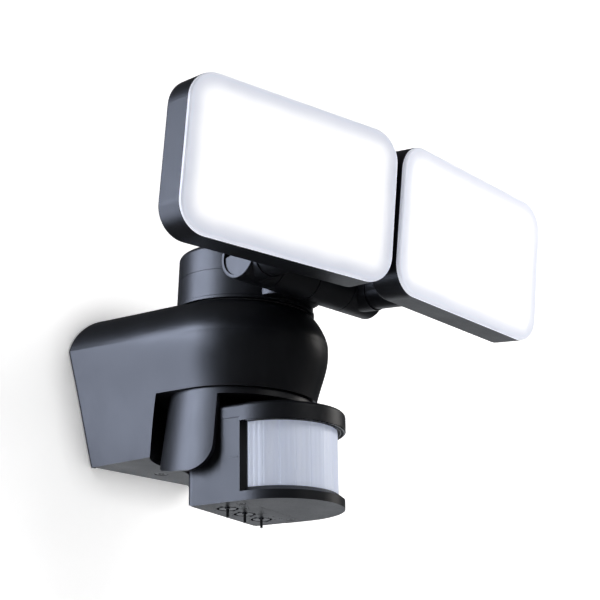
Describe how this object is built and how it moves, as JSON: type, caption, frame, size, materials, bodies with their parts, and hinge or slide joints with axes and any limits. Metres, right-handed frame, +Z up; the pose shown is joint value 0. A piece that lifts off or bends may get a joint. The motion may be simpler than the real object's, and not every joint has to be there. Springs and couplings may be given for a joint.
{
  "type": "motion sensor floodlight",
  "caption": "Wall-mounted outdoor security light: opal LED lamp panels on a turning, tilting crossbar turret over a wall housing, with a hinged motion sensor under it.",
  "frame": {"origin": "middle of the wall plate's rear face, which lies on the wall", "axes": "-Y away from the wall, the way the lamps face; +Z up; +X towards the right as seen by someone facing the light"},
  "size_m": [0.304, 0.2229, 0.2181],
  "materials": {
    "case_plastic": "fine spark-eroded texture",
    "rubber": "matte",
    "zinc_steel": "zinc plated",
    "screw_steel": "plated",
    "black_steel": "black passivated",
    "nylon": "satin",
    "circuit_board": "solder mask",
    "component": "satin",
    "opal_diffuser": "satin opal",
    "heat_plate": "mill",
    "led_board_white": "satin",
    "led_chip": "clear resin",
    "lens_plastic": "milky",
    "detector_metal": "satin",
    "dial_plastic": "satin"
  },
  "bodies": {
    "housing": {"housing_shell": "case_plastic", "bottom_cover": "case_plastic", "lock_screw": "black_steel", "wall_gasket": "rubber", "wall_plate": "zinc_steel", "cable_grommet": "rubber", "terminal_block": "nylon", "terminal_screws": "screw_steel", "driver_board": "circuit_board", "board_components": "component", "turret_seal": "rubber"},
    "turret": {"turret_ring": "case_plastic", "turret_cap": "case_plastic", "turret_retainer": "nylon", "retainer_screws": "screw_steel", "left_sleeve": "case_plastic", "right_sleeve": "case_plastic", "hinge_axle": "zinc_steel", "left_elbow_seal": "rubber", "right_elbow_seal": "rubber"},
    "left_arm": {"left_elbow_inner": "case_plastic", "left_elbow_outer": "case_plastic", "left_end_disc": "case_plastic", "left_elbow_screw": "screw_steel"},
    "right_arm": {"right_elbow_inner": "case_plastic", "right_elbow_outer": "case_plastic", "right_end_disc": "case_plastic", "right_elbow_screw": "screw_steel"},
    "left_head": {"left_stub": "case_plastic", "left_stub_nut": "zinc_steel", "left_head_shell": "case_plastic", "left_diffuser": "opal_diffuser", "left_head_gasket": "rubber", "left_heat_spreader": "heat_plate", "left_led_board": "led_board_white", "left_leds": "led_chip", "left_head_screws": "screw_steel"},
    "right_head": {"right_stub": "case_plastic", "right_stub_nut": "zinc_steel", "right_head_shell": "case_plastic", "right_diffuser": "opal_diffuser", "right_head_gasket": "rubber", "right_heat_spreader": "heat_plate", "right_led_board": "led_board_white", "right_leds": "led_chip", "right_head_screws": "screw_steel"},
    "yoke": {"sensor_yoke": "case_plastic", "yoke_retainer": "nylon", "tilt_pins": "screw_steel"},
    "sensor": {"sensor_rear_housing": "case_plastic", "sensor_front_housing": "case_plastic", "sensor_visor": "case_plastic", "pir_lens": "lens_plastic", "dial_plate": "case_plastic", "pir_board": "circuit_board", "pir_detectors": "detector_metal", "sensor_screws": "black_steel"},
    "time_knob": {"time_dial": "dial_plastic"},
    "range_knob": {"range_dial": "dial_plastic"},
    "dusk_knob": {"dusk_dial": "dial_plastic"}
  },
  "joints": [
    {"name": "turret_pan", "type": "hinge", "parent": "housing", "child": "turret", "pos_m": [0, -0.092, 0.05], "axis": [0, 0, 1], "range_deg": [-60, 60]},
    {"name": "left_arm_tilt", "type": "hinge", "parent": "turret", "child": "left_arm", "pos_m": [0, -0.1452, 0.0594], "axis": [1, 0, 0], "range_deg": [-60, 55]},
    {"name": "right_arm_tilt", "type": "hinge", "parent": "turret", "child": "right_arm", "pos_m": [0, -0.1452, 0.0594], "axis": [1, 0, 0], "range_deg": [-60, 55]},
    {"name": "left_head_roll", "type": "hinge", "parent": "left_arm", "child": "left_head", "pos_m": [-0.0435, -0.1452, 0.0594], "axis": [0.1, 0.9932, 0.0593], "range_deg": [-90, 0]},
    {"name": "right_head_roll", "type": "hinge", "parent": "right_arm", "child": "right_head", "pos_m": [0.0435, -0.1452, 0.0594], "axis": [0.1, -0.9932, -0.0593], "range_deg": [-90, 0]},
    {"name": "sensor_pan", "type": "hinge", "parent": "housing", "child": "yoke", "pos_m": [0, -0.092, -0.012], "axis": [0, 0, 1], "range_deg": [-67, 32]},
    {"name": "sensor_tilt", "type": "hinge", "parent": "yoke", "child": "sensor", "pos_m": [0, -0.092, -0.0403], "axis": [0.9527, 0.304, 0], "range_deg": [-5, 18]},
    {"name": "time_dial_turn", "type": "hinge", "parent": "sensor", "child": "time_knob", "pos_m": [-0.01822, -0.104, -0.08145], "axis": [-0.0154, 0.0482, 0.9987], "range_deg": [-135, 135]},
    {"name": "range_dial_turn", "type": "hinge", "parent": "sensor", "child": "range_knob", "pos_m": [0.00179, -0.09761, -0.08145], "axis": [-0.0154, 0.0482, 0.9987], "range_deg": [-135, 135]},
    {"name": "dusk_dial_turn", "type": "hinge", "parent": "sensor", "child": "dusk_knob", "pos_m": [0.0218, -0.09123, -0.08145], "axis": [-0.0154, 0.0482, 0.9987], "range_deg": [-135, 135]}
  ]
}
